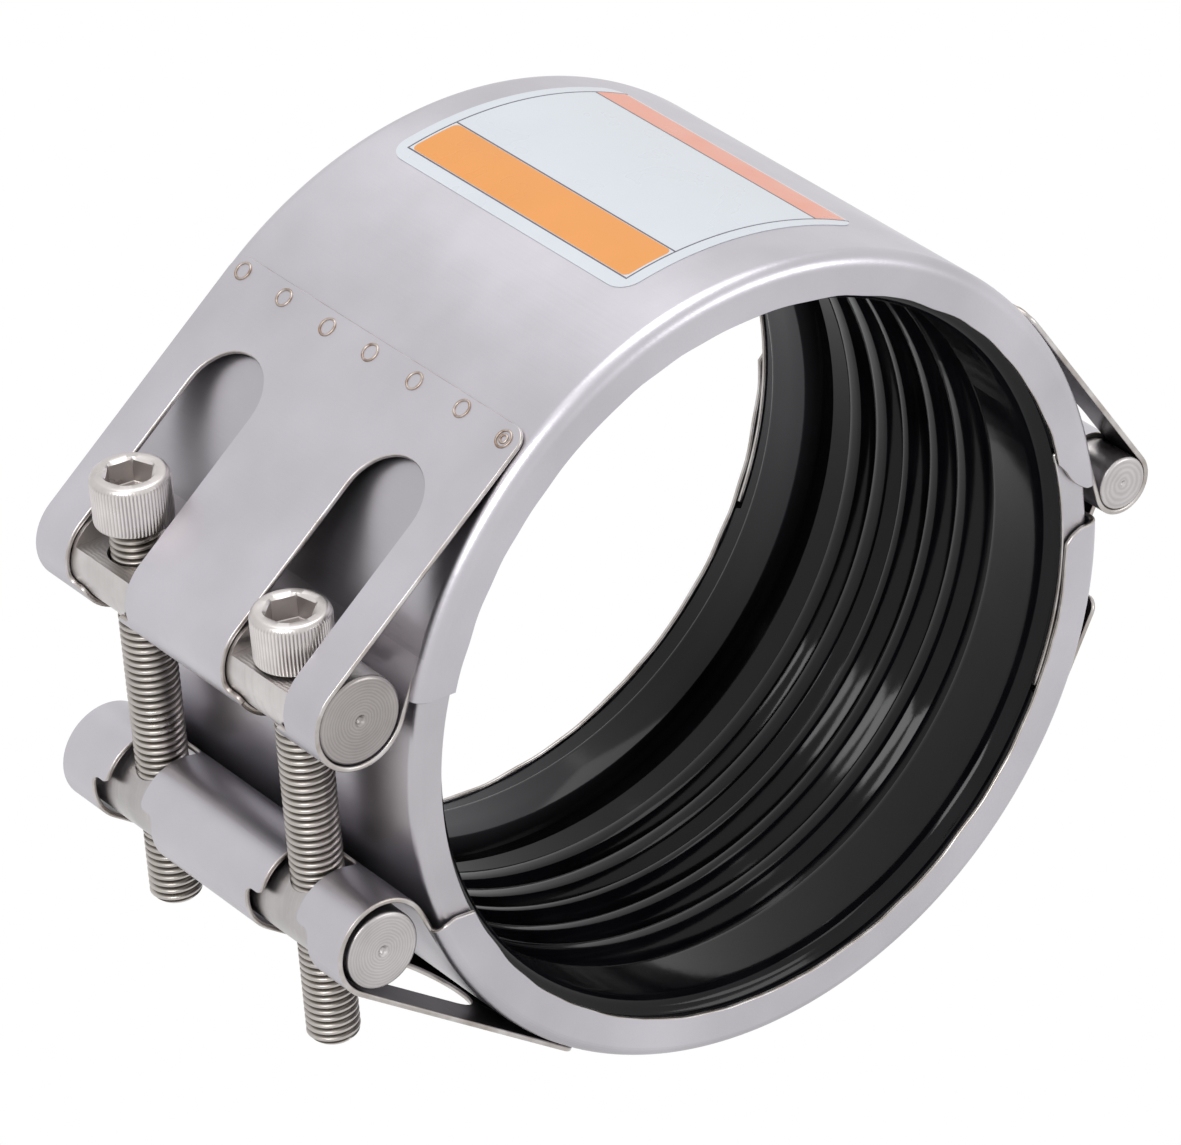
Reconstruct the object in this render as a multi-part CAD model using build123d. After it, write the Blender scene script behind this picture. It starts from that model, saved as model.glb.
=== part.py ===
from build123d import *

import math
import os

os.makedirs("parts", exist_ok=True)

# Hinged repair coupling for a 165.2 mm pipe. Millimetres, +Z up.
# The pipe runs along Y and the origin is the middle of its bore. The hinge pin lies at +X, and the
# two tension bars with their bolts at -X. The front end of the coupling faces -Y.

# Driving dimensions

# Pipe and casing
pipe_diameter = 165.2
sheet = 1.2
coupling_width = 112.0
rubber_depth = 11.4
sleeve_play = 0.3
end_bend = 3.5
flange_depth = 9.8
flange_end_bolt_side = 162.3
upper_flange_end_hinge_side = 3.5
lower_flange_end_hinge_side = 2.7
weld_gap = 0.15
weld_tail = 2.2
leg_corner = 4.0

# Tension bars
bar_neck_room = 1.0
bar_spacing = 58.8
upper_bar_diameter = 20.8
lower_bar_diameter = 18.5
bar_length = 105.0
bar_chamfer = 0.8
bar_loop_play = 0.2
lower_loop_lift = 0.9
seat_height = 4.8
seat_width = 21.0

# Bolts, M12 socket head cap screws with thread to the head
thread_diameter = 12.0
thread_play = 0.05
bolt_length = 97.5
head_diameter = 18.0
head_height = 12.0
head_chamfer = 0.9
socket_across_flats = 10.0
socket_depth = 6.0
bolt_offset = 29.5
upper_hole_diameter = 13.5
front_head_lift = 0.7
rear_head_lift = 8.1
bolt_tip_chamfer = 1.0

# Slots for the bolts in the casing loops
head_slot_width = 23.2
shank_slot_width = 13.4
head_slot_top = 14.0
slot_jog_angle = 20.0
shank_slot_end_angle = 283.0

# Hinge
pin_neck_room = 2.5
pin_diameter = 12.8
pin_play = 0.08
pin_chamfer = 0.8
end_knuckle_width = 11.0
knuckle_play = 0.5
upper_window_start = 33.0
lower_window_start = 26.5
knuckle_window_corner = 9.0

# Bridge plates that close the gaps between the casings
plate_radial_play = 1.2
plate_end_play = 0.4
plate_bend = 2.3
plate_flange_depth = 7.3
bolt_side_plate_half_angle = 28.0
hinge_side_plate_below = 28.0
hinge_side_plate_above = 11.0

# Rubber sleeve: the ends of its lips, its groove and its ribs along the pipe
front_lip = (-50.0, -32.5)
rear_lip = (36.0, 46.5)
lip_lead_width = 2.5
lip_end_relief = 3.5
rear_groove_width = 6.6
groove_depth = 6.4
rib_count = 5
rib_pitch = 9.8
rib_middle = -1.0
rib_width = 6.5
rib_crest_width = 3.5
rib_relief = 1.7
valley_depth = 4.4
slit_width = 0.8
slit_angle = 183.0
recess_margin = 1.0

# Label
label_play = 0.02
label_thickness = 0.15
label_start_angle = 62.2
label_end_angle = 101.3
label_front = -39.6
label_back = 45.5
label_corner = 5.0

# Derived places

half_width = coupling_width / 2
strip_half = half_width - end_bend
casing_inner = pipe_diameter / 2 + rubber_depth + sleeve_play
casing_radius = casing_inner + sheet
wall_middle = casing_radius - sheet / 2
bar_z = bar_spacing / 2
bar_loop_inner = upper_bar_diameter / 2 + bar_loop_play
bar_reach = math.sqrt((wall_middle + bar_loop_inner + sheet / 2 + bar_neck_room) ** 2 - bar_z**2)
knuckle_inner = pin_diameter / 2 + pin_play
pin_reach = wall_middle + knuckle_inner + sheet / 2 + pin_neck_room
knuckle_start = strip_half - end_knuckle_width
ANGLE_STEP = 0.01
OVERCUT = 2.0


def at(radius, angle, centre=(0.0, 0.0)):
    """Point in the XZ plane, with the angle in degrees from +X towards +Z."""
    turn = math.radians(angle)
    return (centre[0] + radius * math.cos(turn), centre[1] + radius * math.sin(turn))


def sector(inner, outer, start, end, centre=(0.0, 0.0)):
    """Flat piece of a ring between two angles."""
    middle = (start + end) / 2
    inner_arc = ThreePointArc(at(inner, start, centre), at(inner, middle, centre), at(inner, end, centre))
    outer_arc = ThreePointArc(at(outer, end, centre), at(outer, middle, centre), at(outer, start, centre))
    first_side = Line(at(inner, end, centre), at(outer, end, centre))
    last_side = Line(at(outer, start, centre), at(inner, start, centre))
    return make_face(Curve() + [inner_arc, first_side, outer_arc, last_side])


def quad(*corners):
    """Flat four-sided piece."""
    return make_face(Polyline(*corners, close=True))


def along_pipe(flat, front, back):
    """Solid of a flat XZ piece between two places along the pipe."""
    plane = Plane(origin=(0, front, 0), x_dir=(1, 0, 0), z_dir=(0, -1, 0))
    return extrude(plane * flat, amount=-(back - front))


def revolved(profile, start, end):
    """Solid of a (radius, y) profile turned about the pipe axis between two angles."""
    placed = Rot(Y=-end) * (Plane.XY * profile)
    return revolve(placed, Axis.Y, end - start)


class Loop:
    """Sheet that leaves the casing wall, goes round a bar and comes back as a straight leg.

    The angles are for a loop beside the upper casing, on the side of its first tangent.
    """

    def __init__(self, centre, inner, towards_top):
        self.centre = centre
        self.inner = inner
        self.outer = inner + sheet
        self.side = towards_top
        distance = math.hypot(*centre)
        bearing = math.degrees(math.atan2(centre[1], centre[0]))
        neck = math.degrees(math.acos((wall_middle + inner + sheet / 2) / distance))
        leg_surface = casing_radius + weld_gap + sheet
        leg = math.degrees(math.acos((leg_surface - self.outer) / distance))
        self.neck_angle = bearing + towards_top * neck
        self.leg_angle = bearing + towards_top * leg
        self.leg_surface = leg_surface

    def neck(self):
        """Straight piece between the casing wall and the loop."""
        away = self.neck_angle + 180
        return quad(
            at(casing_inner, self.neck_angle),
            at(casing_radius, self.neck_angle),
            at(self.inner, away, self.centre),
            at(self.outer, away, self.centre),
        )

    def ring(self):
        """Part of the loop that lies round the bar."""
        start, end = self.leg_angle, self.neck_angle - self.side * 180
        return sector(self.inner, self.outer, min(start, end), max(start, end), self.centre)

    def leg(self):
        """Straight outer leg from the loop to the casing."""
        return quad(
            at(self.inner, self.leg_angle, self.centre),
            at(self.outer, self.leg_angle, self.centre),
            at(self.leg_surface, self.leg_angle),
            at(self.leg_surface - sheet, self.leg_angle),
        )

    def tail(self):
        """End of the leg, which hugs the casing wall and is spot-welded to it."""
        end = self.leg_angle + self.side * weld_tail
        start = self.leg_angle
        bite = sheet / 4
        return sector(casing_radius - bite, self.leg_surface, min(start, end), max(start, end))

    def on_leg(self, down, y, lift=0.0):
        """Plane on the leg's outer face, with local X along the pipe and Z outwards."""
        normal = at(1, self.leg_angle)
        along = at(1, self.leg_angle - self.side * 90)
        surface = self.leg_surface + lift
        origin = (
            normal[0] * surface + along[0] * down,
            y,
            normal[1] * surface + along[1] * down,
        )
        return Plane(origin=origin, x_dir=(0, 1, 0), z_dir=(normal[0], 0, normal[1]))

    def leg_length(self):
        """Length of the straight leg."""
        return math.sqrt(math.hypot(*self.centre) ** 2 - (self.leg_surface - self.outer) ** 2)


def rim(start, end, radius, bend, depth, front_face):
    """Rounded corner and inward flange at the front end, between two angles."""
    wall_end = front_face + bend
    inner_bend = bend - sheet
    diagonal = math.sqrt(0.5)
    corner = radius - bend
    outer_arc = ThreePointArc(
        (radius, wall_end),
        (corner + bend * diagonal, wall_end - bend * diagonal),
        (corner, front_face),
    )
    inner_arc = ThreePointArc(
        (corner, front_face + sheet),
        (corner + inner_bend * diagonal, wall_end - inner_bend * diagonal),
        (radius - sheet, wall_end),
    )
    flange_edge = radius - depth
    lines = [
        outer_arc,
        Line((corner, front_face), (flange_edge, front_face)),
        Line((flange_edge, front_face), (flange_edge, front_face + sheet)),
        Line((flange_edge, front_face + sheet), (corner, front_face + sheet)),
        inner_arc,
        Line((radius - sheet, wall_end), (radius, wall_end)),
    ]
    return revolved(make_face(Curve() + lines), start, end)


def both_ends(front_piece):
    """A front piece and its mirror image at the rear end."""
    return front_piece + mirror(front_piece, Plane.XZ)


def radial_cutter(loop, angle, radius, y):
    """Round cutter through one side of a loop."""
    outwards = at(1, angle)
    plane = Plane(
        origin=(loop.centre[0], y, loop.centre[1]),
        x_dir=(0, 1, 0),
        z_dir=(outwards[0], 0, outwards[1]),
    )
    return extrude(plane * Circle(radius), amount=loop.outer + OVERCUT)


def bolt_slot(loop, y):
    """Cutter for one bolt: wide along the leg for the head, narrow round the loop for the shank."""
    head_half = head_slot_width / 2
    shank_half = shank_slot_width / 2
    length = loop.leg_length()
    top = loop.on_leg(head_slot_top + head_half, y, OVERCUT)
    depth = sheet + 2 * OVERCUT
    cutter = extrude(top * Circle(head_half), amount=-depth)
    run = length - head_slot_top - head_half
    middle = loop.on_leg(head_slot_top + head_half + run / 2, y, OVERCUT)
    cutter += extrude(middle * Rectangle(head_slot_width, run + ANGLE_STEP), amount=-depth)
    inside, outside = loop.inner - OVERCUT, loop.outer + OVERCUT
    jog = 180 + slot_jog_angle
    wide = sector(inside, outside, loop.leg_angle - ANGLE_STEP, jog, loop.centre)
    narrow = sector(inside, outside, jog - ANGLE_STEP, shank_slot_end_angle, loop.centre)
    cutter += along_pipe(wide, y - head_half, y + head_half)
    cutter += along_pipe(narrow, y - shank_half, y + shank_half)
    return cutter + radial_cutter(loop, shank_slot_end_angle, shank_half, y)


def leg_corners(loop):
    """Cutters that round the two corners at the welded end of a leg."""
    end_down = -math.radians(weld_tail) * loop.leg_surface
    depth = sheet + weld_gap
    cutters = []
    for side in (-1, 1):
        plane = loop.on_leg(end_down, side * strip_half, OVERCUT)
        square = Pos(-side * leg_corner / 2, -loop.side * leg_corner / 2) * Rectangle(leg_corner, leg_corner)
        disc = Pos(-side * leg_corner, -loop.side * leg_corner) * Circle(leg_corner)
        cutters.append(extrude(plane * (square - disc), amount=-(depth + OVERCUT)))
    return cutters


def half_casing(bar_loop, hinge_loop, flange_end_hinge, knuckle_spans, wall_spans):
    """One casing half, modelled as the upper one: wall, end flanges, bar loop and hinge knuckles."""
    front, back = -strip_half, strip_half
    wall = sector(casing_inner, casing_radius, hinge_loop.neck_angle, bar_loop.neck_angle)
    body = along_pipe(wall, front, back)
    body += both_ends(
        rim(flange_end_hinge, flange_end_bolt_side, casing_radius, end_bend, flange_depth, -half_width)
    )
    for flat in (bar_loop.neck(), bar_loop.ring(), bar_loop.leg(), bar_loop.tail()):
        body += along_pipe(flat, front, back)
    for start, end in wall_spans:
        skirt = sector(casing_inner, casing_radius, flange_end_hinge, hinge_loop.neck_angle + 1)
        body += along_pipe(skirt, start, end)
    for start, end in knuckle_spans:
        for flat in (hinge_loop.neck(), hinge_loop.ring()):
            body += along_pipe(flat, start, end)
    for flat in (hinge_loop.leg(), hinge_loop.tail()):
        body += along_pipe(flat, front, back)
    for y in (-bolt_offset, bolt_offset):
        body -= bolt_slot(bar_loop, y)
    for loop in (bar_loop, hinge_loop):
        for cutter in leg_corners(loop):
            body -= cutter
    return body


def leg_window(loop, start, front, back, open_front, open_back):
    """Cutter that clears a hinge leg between two places along the pipe, from a distance down the leg."""
    length = loop.leg_length()
    reach = length - start
    down = start + reach / 2
    wide = back - front
    plane = loop.on_leg(down, (front + back) / 2, OVERCUT)
    shape = Rectangle(wide, reach)
    top = reach / 2 * loop.side
    corners = [v for v in shape.vertices() if abs(v.Y - top) < ANGLE_STEP]
    corners = [v for v in corners if (v.X < 0 and not open_front) or (v.X > 0 and not open_back)]
    if corners:
        shape = fillet(corners, knuckle_window_corner)
    return extrude(plane * shape, amount=-(sheet + 2 * OVERCUT))


def upper_casing():
    bar_loop = Loop((-bar_reach, bar_z), bar_loop_inner, -1)
    hinge_loop = Loop((pin_reach, 0.0), knuckle_inner, 1)
    knuckles = [(-strip_half, -knuckle_start), (knuckle_start, strip_half)]
    wall = [(-knuckle_start + knuckle_play, knuckle_start - knuckle_play)]
    body = half_casing(bar_loop, hinge_loop, upper_flange_end_hinge_side, knuckles, wall)
    return body - leg_window(hinge_loop, upper_window_start, -knuckle_start, knuckle_start, False, False)


def lower_casing():
    """The same shape mirrored, with its bar loop slightly nearer the middle."""
    bar_loop = Loop((-bar_reach, bar_z - lower_loop_lift), bar_loop_inner, -1)
    hinge_loop = Loop((pin_reach, 0.0), knuckle_inner, 1)
    middle = knuckle_start - knuckle_play
    knuckles = [(-middle, middle)]
    walls = [(-strip_half, -knuckle_start), (knuckle_start, strip_half)]
    body = half_casing(bar_loop, hinge_loop, lower_flange_end_hinge_side, knuckles, walls)
    edge = strip_half + OVERCUT
    body -= leg_window(hinge_loop, lower_window_start, -edge, -middle, True, False)
    body -= leg_window(hinge_loop, lower_window_start, middle, edge, False, True)
    return mirror(body, Plane.XY)


def bar(diameter, centre_z, hole_diameter):
    """Round bar along the pipe with its two cross holes."""
    radius = diameter / 2
    profile = Polyline(
        (0, -bar_length / 2),
        (radius - bar_chamfer, -bar_length / 2),
        (radius, -bar_length / 2 + bar_chamfer),
        (radius, bar_length / 2 - bar_chamfer),
        (radius - bar_chamfer, bar_length / 2),
        (0, bar_length / 2),
        close=True,
    )
    body = revolve(make_face(profile), Axis.Y, 360)
    for y in (-bolt_offset, bolt_offset):
        body -= Pos(0, y, 0) * Cylinder(hole_diameter / 2, 2 * diameter)
    return Pos(-bar_reach, 0, centre_z) * body


def upper_bar():
    body = bar(upper_bar_diameter, bar_z, upper_hole_diameter)
    for y in (-bolt_offset, bolt_offset):
        seat = Box(
            upper_bar_diameter + OVERCUT,
            seat_width,
            upper_bar_diameter,
            align=(Align.CENTER, Align.CENTER, Align.MIN),
        )
        body -= Pos(-bar_reach, y, bar_z + seat_height) * seat
    return body


def bolt(y, lift):
    """Socket head cap screw hanging through the upper bar, with its head above the seat."""
    shank = thread_diameter / 2
    head = head_diameter / 2
    profile = Polyline(
        (0, -bolt_length),
        (shank - bolt_tip_chamfer, -bolt_length),
        (shank, -bolt_length + bolt_tip_chamfer),
        (shank, 0),
        (head, 0),
        (head, head_height - head_chamfer),
        (head - head_chamfer, head_height),
        (0, head_height),
        close=True,
    )
    body = revolve(Rot(X=90) * make_face(profile), Axis.Z, 360)
    socket = RegularPolygon(socket_across_flats / 2, 6, major_radius=False)
    body -= extrude(Pos(0, 0, head_height - socket_depth) * socket, amount=socket_depth + OVERCUT)
    return Pos(-bar_reach, y, bar_z + seat_height + lift) * body


def hinge_pin():
    radius, half = pin_diameter / 2, strip_half + 0.5
    profile = Polyline(
        (0, -half),
        (radius - pin_chamfer, -half),
        (radius, -half + pin_chamfer),
        (radius, half - pin_chamfer),
        (radius - pin_chamfer, half),
        (0, half),
        close=True,
    )
    return Pos(pin_reach, 0, 0) * revolve(make_face(profile), Axis.Y, 360)


plate_radius = casing_inner - plate_radial_play
plate_face = half_width - sheet - plate_end_play


def bridge_plate(start, end):
    """Channel-shaped plate inside the gap between the casing ends."""
    wall = sector(plate_radius - sheet, plate_radius, start, end)
    body = along_pipe(wall, -plate_face + plate_bend, plate_face - plate_bend)
    return body + both_ends(rim(start, end, plate_radius, plate_bend, plate_flange_depth, -plate_face))


def sleeve_profile():
    """Half section of the rubber, from its outside round its front end to the ribbed bore."""
    pipe_radius = pipe_diameter / 2
    outer = casing_inner - sleeve_play
    face = half_width - sheet - sleeve_play
    bend_middle = (casing_radius - end_bend, strip_half)
    bend = end_bend - sheet - sleeve_play
    points = [at(bend, angle, bend_middle) for angle in (0, 45, 90)]
    back = [(r, y) for r, y in points]
    front = [(r, -y) for r, y in reversed(points)]
    relieved = pipe_radius + lip_end_relief
    groove = pipe_radius + groove_depth
    valley = pipe_radius + valley_depth
    crest = pipe_radius + rib_relief
    bore = [(relieved, -face), (relieved, front_lip[0] - lip_lead_width)]
    bore += [(pipe_radius, y) for y in front_lip] + [(valley, front_lip[1])]
    for number in range(rib_count):
        y = rib_middle + (number - (rib_count - 1) / 2) * rib_pitch
        foot, top = rib_width / 2, rib_crest_width / 2
        bore += [(valley, y - foot), (crest, y - top), (crest, y + top), (valley, y + foot)]
    groove_front = rear_lip[0] - rear_groove_width
    bore += [(valley, groove_front), (groove, groove_front), (groove, rear_lip[0])]
    bore += [(pipe_radius, y) for y in rear_lip]
    bore += [(relieved, rear_lip[1] + lip_lead_width), (relieved, face)]
    return make_face(Polyline(*bore, *back, *front, close=True))


def plate_recess():
    """Section of the room that a bridge plate needs at the outside of the sleeve."""
    wall = plate_radius - sheet - sleeve_play
    face = plate_face - sheet - sleeve_play
    corner = plate_bend - sheet
    edge = plate_radius - plate_flange_depth - sleeve_play
    side = [(edge, face), (wall - corner, face), (wall, face - corner)]
    profile = Polyline(
        (edge, half_width),
        *side,
        *[(r, -y) for r, y in reversed(side)],
        (edge, -half_width),
        (casing_radius, -half_width),
        (casing_radius, half_width),
        close=True,
    )
    return make_face(profile)


def rubber_sleeve():
    full = sleeve_profile()
    recessed = full - plate_recess()
    half_slit = math.degrees(slit_width / pipe_diameter)
    bolt_side = bolt_side_plate_half_angle + recess_margin
    lower_tail = 360 - hinge_side_plate_below - recess_margin
    upper_tail = 360 + hinge_side_plate_above + recess_margin
    body = revolved(recessed, slit_angle + half_slit, 180 + bolt_side)
    body += revolved(full, 180 + bolt_side, lower_tail)
    body += revolved(recessed, lower_tail, upper_tail)
    body += revolved(full, upper_tail, 540 - bolt_side)
    body += revolved(recessed, 540 - bolt_side, 360 + slit_angle - half_slit)
    return body


def label():
    middle = (label_start_angle + label_end_angle) / 2
    height = 2 * casing_radius * math.sin(math.radians(label_end_angle - label_start_angle) / 2)
    normal = at(1, middle)
    plane = Plane(
        origin=(0, (label_front + label_back) / 2, 0),
        x_dir=(0, 1, 0),
        z_dir=(normal[0], 0, normal[1]),
    )
    outline = RectangleRounded(label_back - label_front, height, label_corner)
    prism = extrude(plane * outline, amount=casing_radius + OVERCUT)
    inner = casing_radius + label_play
    ring = sector(inner, inner + label_thickness, label_start_angle - 5, label_end_angle + 5)
    return along_pipe(ring, label_front - 1, label_back + 1) & prism


pieces = {
    "upper_casing": upper_casing(),
    "lower_casing": lower_casing(),
    "upper_bar": upper_bar(),
    "lower_bar": bar(lower_bar_diameter, -bar_z, thread_diameter + 2 * thread_play),
    "front_bolt": bolt(-bolt_offset, front_head_lift),
    "rear_bolt": bolt(bolt_offset, rear_head_lift),
    "hinge_pin": hinge_pin(),
    "bolt_side_bridge": bridge_plate(180 - bolt_side_plate_half_angle, 180 + bolt_side_plate_half_angle),
    "hinge_side_bridge": bridge_plate(-hinge_side_plate_below, hinge_side_plate_above),
    "rubber_sleeve": rubber_sleeve(),
    "label": label(),
}

for name, piece in pieces.items():
    export_step(piece, f"parts/{name}.step")
    print(name, round(piece.volume), piece.is_valid, len(piece.solids()))
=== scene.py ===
import math

import bmesh
import bpy
from mathutils import Matrix, Vector, noise


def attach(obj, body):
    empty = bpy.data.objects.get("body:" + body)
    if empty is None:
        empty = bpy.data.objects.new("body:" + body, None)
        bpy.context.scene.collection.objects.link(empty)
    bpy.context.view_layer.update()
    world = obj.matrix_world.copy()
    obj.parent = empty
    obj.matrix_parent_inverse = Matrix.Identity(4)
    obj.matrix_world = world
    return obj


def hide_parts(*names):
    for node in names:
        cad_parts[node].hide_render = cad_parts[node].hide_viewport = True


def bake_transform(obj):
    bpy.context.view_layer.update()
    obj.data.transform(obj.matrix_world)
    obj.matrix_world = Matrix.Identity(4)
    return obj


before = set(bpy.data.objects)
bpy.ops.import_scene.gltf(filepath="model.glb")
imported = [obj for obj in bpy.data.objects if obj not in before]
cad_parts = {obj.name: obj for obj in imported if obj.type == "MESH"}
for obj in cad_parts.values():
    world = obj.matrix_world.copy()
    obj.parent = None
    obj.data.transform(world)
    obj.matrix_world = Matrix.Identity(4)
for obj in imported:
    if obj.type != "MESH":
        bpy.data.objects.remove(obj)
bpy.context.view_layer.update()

# Sizes of the coupling, in millimetres. The pipe runs along Y, the hinge is at +X and the bolts at -X.
MM = 0.001
SHEET = 1.2
CASING_RADIUS = 95.5
STRIP_HALF = 52.5
END_BEND = 3.5
FLANGE_DEPTH = 9.8
WELD_GAP = 0.15
TAIL_ANGLE = 2.2
BAR_X, BAR_Z = -102.9857, 29.4
LOWER_LOOP_LIFT = 0.9
BAR_LOOP_RADIUS = 10.6
UPPER_BAR_RADIUS, LOWER_BAR_RADIUS = 10.4, 9.25
BAR_HALF = 52.5
PIN_X, PIN_RADIUS = 104.48, 6.4
KNUCKLE_LOOP_RADIUS = 6.48
KNUCKLE_START = 41.5
KNUCKLE_PLAY = 0.5
UPPER_WINDOW, LOWER_WINDOW = 33.0, 26.5
STRIP_CORNER, WINDOW_CORNER, TAB_CORNER = 4, 9, 3
SLOT_WIDE, SLOT_NARROW = 11.6, 6.7
SLOT_START = 14.0
SLOT_STEP_ANGLE, SLOT_END_ANGLE = 200, 283
BEND_STEP = 1.5
RIM_WAVE = 0.5
BOLT_Y = 29.5
SEAT_HEIGHT, SEAT_HALF = 4.8, 10.5
PLATE_RADIUS = 93.1
PLATE_FACE = 54.4
PLATE_BEND = 2.3
PLATE_FLANGE = 7.3
EDGE_SHARE, EDGE_BULGE = 0.55, 0.17
MIDDLE = CASING_RADIUS - SHEET / 2
LEG_MIDDLE = CASING_RADIUS + WELD_GAP + SHEET / 2


def at(radius, angle, centre=(0.0, 0.0)):
    """Point in the XZ plane, with the angle in degrees from +X towards +Z."""
    turn = math.radians(angle)
    return Vector((centre[0] + radius * math.cos(turn), centre[1] + radius * math.sin(turn)))


# Materials


def node_material(name, base, metallic, roughness, **sockets):
    """Principled material with plain values on its own sockets."""
    material = bpy.data.materials.new(name)
    material.use_nodes = True
    shader = material.node_tree.nodes["Principled BSDF"]
    shader.inputs["Base Color"].default_value = (*base, 1)
    shader.inputs["Metallic"].default_value = metallic
    shader.inputs["Roughness"].default_value = roughness
    for socket, value in sockets.items():
        shader.inputs[socket.replace("_", " ")].default_value = value
    return material, material.node_tree, shader


def add(tree, kind, **values):
    """New node with some of its inputs and settings given."""
    node = tree.nodes.new(kind)
    for key, value in values.items():
        name = key.replace("_", " ")
        if name in node.inputs:
            node.inputs[name].default_value = value
        else:
            setattr(node, key, value)
    return node


def object_coordinates(tree, scale=(1, 1, 1)):
    """Object coordinates, stretched."""
    place = add(tree, "ShaderNodeTexCoord")
    mapping = add(tree, "ShaderNodeMapping", Scale=scale)
    tree.links.new(place.outputs["Object"], mapping.inputs["Vector"])
    return mapping.outputs["Vector"]


def painted(tree, name):
    """Colour that is painted on the mesh under a name."""
    return add(tree, "ShaderNodeVertexColor", layer_name=name).outputs["Color"]


def clouds(tree, vector, scale, detail, low=0.0, high=1.0):
    """Noise between two values."""
    texture = add(tree, "ShaderNodeTexNoise", Scale=scale, Detail=detail)
    tree.links.new(vector, texture.inputs["Vector"])
    spread = add(tree, "ShaderNodeMapRange", From_Min=0.3, From_Max=0.7, To_Min=low, To_Max=high)
    tree.links.new(texture.outputs["Fac"], spread.inputs["Value"])
    return spread.outputs["Result"]


def two_tones(tree, factor, first, second):
    """Colour between two tones."""
    ramp = add(tree, "ShaderNodeValToRGB")
    ramp.color_ramp.elements[0].color = (*first, 1)
    ramp.color_ramp.elements[1].color = (*second, 1)
    tree.links.new(factor, ramp.inputs["Fac"])
    return ramp.outputs["Color"]


def tinted(base, share):
    """A tone made darker or lighter."""
    return tuple(min(1.0, share * channel) for channel in base)


def blended(tree, factor, first, second, kind="MIX"):
    """Blend of two colours by a factor, each of them an output or a plain value."""
    node = add(tree, "ShaderNodeMix", data_type="RGBA", blend_type=kind)
    for name, value in (("Factor", factor), ("A", first), ("B", second)):
        if isinstance(value, bpy.types.NodeSocket):
            tree.links.new(value, node.inputs[name])
        else:
            node.inputs[name].default_value = value
    return node.outputs["Result"]


def surfaced(tree, shader, colour, roughness=None):
    """Gives the shader a colour, and a roughness where there is one."""
    tree.links.new(colour, shader.inputs["Base Color"])
    if roughness is not None:
        tree.links.new(roughness, shader.inputs["Roughness"])


def bump(tree, height, shader, strength, distance):
    """Surface relief from a height."""
    relief = add(tree, "ShaderNodeBump", Strength=strength, Distance=distance)
    tree.links.new(height, relief.inputs["Height"])
    tree.links.new(relief.outputs["Normal"], shader.inputs["Normal"])


def satin_sheet_steel(name, base):
    """Rolled stainless sheet: satin, slightly cloudy, with faint rolling lines and painted shade."""
    material, tree, shader = node_material(name, base, 1.0, 0.36)
    place = object_coordinates(tree)
    tone = two_tones(tree, clouds(tree, place, 24, 6), tinted(base, 0.86), tinted(base, 1.05))
    # Painted shade: where the mesh is marked, the steel turns near black under the legs and in hollows.
    dulled = blended(tree, painted(tree, "painted_shade"), tone, (0.11, 0.10, 0.105, 1))
    surfaced(tree, shader, dulled, clouds(tree, place, 35, 4, 0.30, 0.40))
    rolling_lines = object_coordinates(tree, (900, 12, 900))
    bump(tree, clouds(tree, rolling_lines, 1.0, 2), shader, 0.06, 0.0002)
    return material


def cut_edge_steel():
    """Sheared edge of the sheet, a little warmer and more uneven than its faces, and darker, partly painted
    shade.
    """
    material, tree, shader = node_material("cut_edge_steel", (0.50, 0.47, 0.46), 1.0, 0.34)
    uneven = clouds(tree, object_coordinates(tree), 160, 3)
    # Darker than the faces: partly the sheared edge's own tone, partly painted shade along the edges.
    surfaced(tree, shader, two_tones(tree, uneven, (0.36, 0.32, 0.29), (0.60, 0.575, 0.565)))
    return material


def turned_steel(name, base, ring_scale):
    """Turned round bar, with fine lathe marks on the ends."""
    roughness = 0.33
    material, tree, shader = node_material(name, base, 1.0, roughness)
    place = object_coordinates(tree)
    tone = two_tones(tree, clouds(tree, place, 90, 4), tinted(base, 0.78), base)
    rough = clouds(tree, place, 60, 3, roughness - 0.05, roughness + 0.1)
    turning = add(tree, "ShaderNodeUVMap", uv_map="turning")
    uneven = {"Distortion": 3.5, "Detail": 4.0, "Detail_Scale": 1.5}
    rings = add(tree, "ShaderNodeTexWave", bands_direction="X", Scale=ring_scale, **uneven)
    tree.links.new(turning.outputs["UV"], rings.inputs["Vector"])
    surfaced(tree, shader, blended(tree, 0.16, tone, rings.outputs["Color"], "MULTIPLY"), rough)
    bump(tree, rings.outputs["Fac"], shader, 0.22, 0.00012)
    return material


def bolt_steel(name, base):
    """Stainless bolt: warmer grey, with painted shade where the mesh's depth colour is low."""
    roughness = 0.3
    material, tree, shader = node_material(name, base, 1.0, roughness)
    place = object_coordinates(tree)
    tone = two_tones(tree, clouds(tree, place, 140, 4), tinted(base, 0.8), base)
    # Painted shade: low values of the depth colour darken the steel towards a dark brown-grey.
    painted_shade_bolt_tone = blended(tree, painted(tree, "depth"), (0.26, 0.235, 0.215, 1), tone)
    surfaced(tree, shader, painted_shade_bolt_tone, clouds(tree, place, 120, 3, roughness - 0.05, roughness + 0.12))
    return material


def weld_mark_steel():
    """Heat-tinted ring of a spot weld."""
    material, tree, shader = node_material("weld_mark_steel", (0.36, 0.27, 0.21), 1.0, 0.4)
    tint = clouds(tree, object_coordinates(tree), 500, 3)
    surfaced(tree, shader, two_tones(tree, tint, (0.24, 0.16, 0.11), (0.52, 0.46, 0.42)))
    return material


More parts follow.
